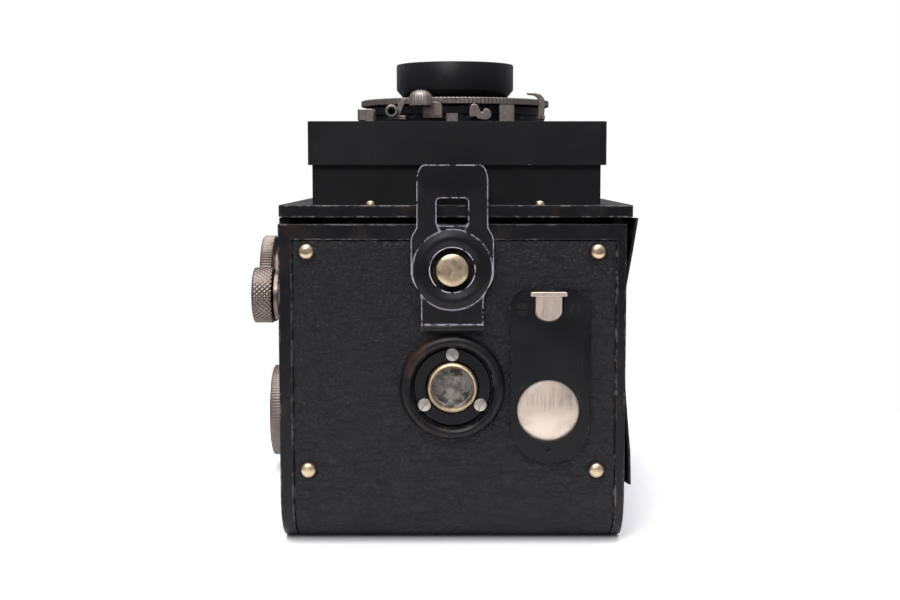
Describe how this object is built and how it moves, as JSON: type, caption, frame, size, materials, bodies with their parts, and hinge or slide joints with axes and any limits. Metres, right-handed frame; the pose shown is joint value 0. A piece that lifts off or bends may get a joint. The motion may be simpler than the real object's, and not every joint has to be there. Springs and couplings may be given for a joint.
{
  "type": "twin lens reflex camera",
  "caption": "Black roll film camera with a viewing lens over a taking lens, leathered body, hinged back and base, knobs and a folding finder hood.",
  "frame": {"origin": "on the outer face of the back, level with the taking lens, on the centre plane of the tripod bush", "axes": "+X to the right as seen from the base, +Y from the base to the finder hood, +Z from the back to the lenses"},
  "size_m": [0.0928, 0.1351, 0.111],
  "materials": {
    "black_enamel": "glossy black enamel, worn",
    "black_satin": "satin black lacquer",
    "leather": "black pebbled leather",
    "nickel": "aged nickel plate",
    "warm_nickel": "nickel worn warm over brass",
    "glass": "clear glass",
    "red_glass": "red glass",
    "mirror": "silvered",
    "ground_glass": "ground glass",
    "film_track": "smooth black, rails worn",
    "spool": "black lacquered tinplate"
  },
  "bodies": {
    "camera_body": {"side_wall_left": "black_satin", "side_wall_right": "black_satin", "side_leather_left": "leather", "side_leather_right": "leather", "front_plate": "black_enamel", "inner_light_box": "black_satin", "bulkhead": "black_satin", "dark_chamber": "black_satin", "film_gate": "film_track", "mirror": "mirror", "mirror_bracket": "black_satin", "top_plate": "black_satin", "focusing_screen": "ground_glass", "hood_base": "black_satin", "feed_knob_bush": "nickel", "door_hinge_pin": "nickel"},
    "film_roller": {"film_roller": "nickel"},
    "lens_carriage": {"lens_panel": "black_satin", "focus_rack": "nickel", "shutter_housing": "black_enamel", "taking_lens_ring": "black_enamel", "front_lens_element": "glass", "rear_lens_cell": "black_enamel", "rear_lens_element": "glass", "viewing_lens_barrel": "black_enamel", "viewing_lens_element": "glass", "cable_release_socket": "nickel", "index_plate": "nickel"},
    "speed_ring": {"speed_ring": "nickel"},
    "aperture_lever": {"aperture_lever": "nickel"},
    "release_lever": {"release_lever": "nickel"},
    "focus_knob": {"focus_knob": "nickel", "focus_pinion_shaft": "nickel"},
    "winding_knob": {"winding_knob": "nickel", "winding_shaft": "nickel", "takeup_spool": "spool"},
    "feed_spool_knob": {"feed_spool_knob": "nickel"},
    "takeup_spool_knob": {"takeup_spool_knob": "nickel"},
    "door": {"door_shell": "black_enamel", "door_leather": "leather", "tripod_ring": "black_enamel", "tripod_plate": "black_enamel", "tripod_bush": "warm_nickel", "foot_upper_left": "warm_nickel", "foot_upper_right": "warm_nickel", "foot_lower_left": "warm_nickel", "foot_lower_right": "warm_nickel", "window_plate": "black_enamel", "red_window": "red_glass", "pressure_plate": "black_satin"},
    "latch": {"latch": "black_enamel"},
    "latch_button": {"latch_button": "warm_nickel"},
    "window_slide": {"window_slide": "nickel"},
    "hood_lid": {"hood_lid": "black_satin", "magnifier_frame": "black_satin", "magnifier_lens": "glass"},
    "hood_wing_left": {"hood_wing_left": "black_satin"},
    "hood_wing_right": {"hood_wing_right": "black_satin"},
    "hood_rear_panel": {"hood_rear_panel": "black_satin"}
  },
  "joints": [
    {"name": "focus_slide", "type": "slide", "parent": "camera_body", "child": "lens_carriage", "axis": [0, 0, 1], "range_m": [-0.0061, 0]},
    {"name": "focus_knob_turn", "type": "hinge", "parent": "camera_body", "child": "focus_knob", "pos_m": [-0.03, 0.001, 0.0572], "axis": [1, 0, 0], "range_deg": [-117, 0]},
    {"name": "film_roller_spin", "type": "hinge", "parent": "camera_body", "child": "film_roller", "pos_m": [0, -0.0365, 0.013], "axis": [1, 0, 0], "continuous": true},
    {"name": "speed_ring_turn", "type": "hinge", "parent": "lens_carriage", "child": "speed_ring", "pos_m": [0.00065, 0, 0.101], "axis": [0, 0, 1], "range_deg": [-75, 75]},
    {"name": "aperture_lever_turn", "type": "hinge", "parent": "lens_carriage", "child": "aperture_lever", "pos_m": [0.00065, 0, 0.098], "axis": [0, 0, 1], "range_deg": [-3, 8]},
    {"name": "release_lever_turn", "type": "hinge", "parent": "lens_carriage", "child": "release_lever", "pos_m": [0.00065, 0, 0.098], "axis": [0, 0, 1], "range_deg": [0, 25], "stiffness_Nm_per_rad": 0.02},
    {"name": "winding_knob_turn", "type": "hinge", "parent": "camera_body", "child": "winding_knob", "pos_m": [0, 0.043, 0.016], "axis": [1, 0, 0], "continuous": true},
    {"name": "feed_spool_knob_pull", "type": "slide", "parent": "camera_body", "child": "feed_spool_knob", "axis": [-1, 0, 0], "range_m": [0, 0.005], "stiffness_N_per_m": 300},
    {"name": "takeup_spool_knob_pull", "type": "slide", "parent": "camera_body", "child": "takeup_spool_knob", "axis": [1, 0, 0], "range_m": [0, 0.004], "stiffness_N_per_m": 300},
    {"name": "door_hinge", "type": "hinge", "parent": "camera_body", "child": "door", "pos_m": [0, 0.068, 0.0025], "axis": [1, 0, 0], "range_deg": [0, 150]},
    {"name": "latch_hinge", "type": "hinge", "parent": "door", "child": "latch", "pos_m": [0, -0.046, 0.0499], "axis": [1, 0, 0], "range_deg": [0, 40], "stiffness_Nm_per_rad": 0.05, "springref_deg": -11.46},
    {"name": "latch_button_press", "type": "slide", "parent": "latch", "child": "latch_button", "axis": [0, 1, 0], "range_m": [0, 0.0011], "stiffness_N_per_m": 400},
    {"name": "window_slide_move", "type": "slide", "parent": "door", "child": "window_slide", "axis": [0, 0, 1], "range_m": [0, 0.0135], "stiffness_N_per_m": 20},
    {"name": "hood_lid_hinge", "type": "hinge", "parent": "camera_body", "child": "hood_lid", "pos_m": [0, 0.0856, 0.0713], "axis": [1, 0, 0], "range_deg": [0, 90]},
    {"name": "hood_wing_left_hinge", "type": "hinge", "parent": "camera_body", "child": "hood_wing_left", "pos_m": [-0.0293, 0.078, 0.04], "axis": [0, 0, 1], "range_deg": [0, 90]},
    {"name": "hood_wing_right_hinge", "type": "hinge", "parent": "camera_body", "child": "hood_wing_right", "pos_m": [0.0293, 0.078, 0.04], "axis": [0, 0, -1], "range_deg": [0, 90]},
    {"name": "hood_rear_panel_hinge", "type": "hinge", "parent": "camera_body", "child": "hood_rear_panel", "pos_m": [0, 0.078, 0.0087], "axis": [-1, 0, 0], "range_deg": [0, 90]}
  ],
  "couplings": [
    {"joint": "focus_knob_turn", "follows": "focus_slide", "rad_per_m": 333.33},
    {"joint": "hood_wing_left_hinge", "follows": "hood_lid_hinge", "ratio": 1},
    {"joint": "hood_wing_right_hinge", "follows": "hood_lid_hinge", "ratio": 1},
    {"joint": "hood_rear_panel_hinge", "follows": "hood_lid_hinge", "ratio": 1}
  ]
}
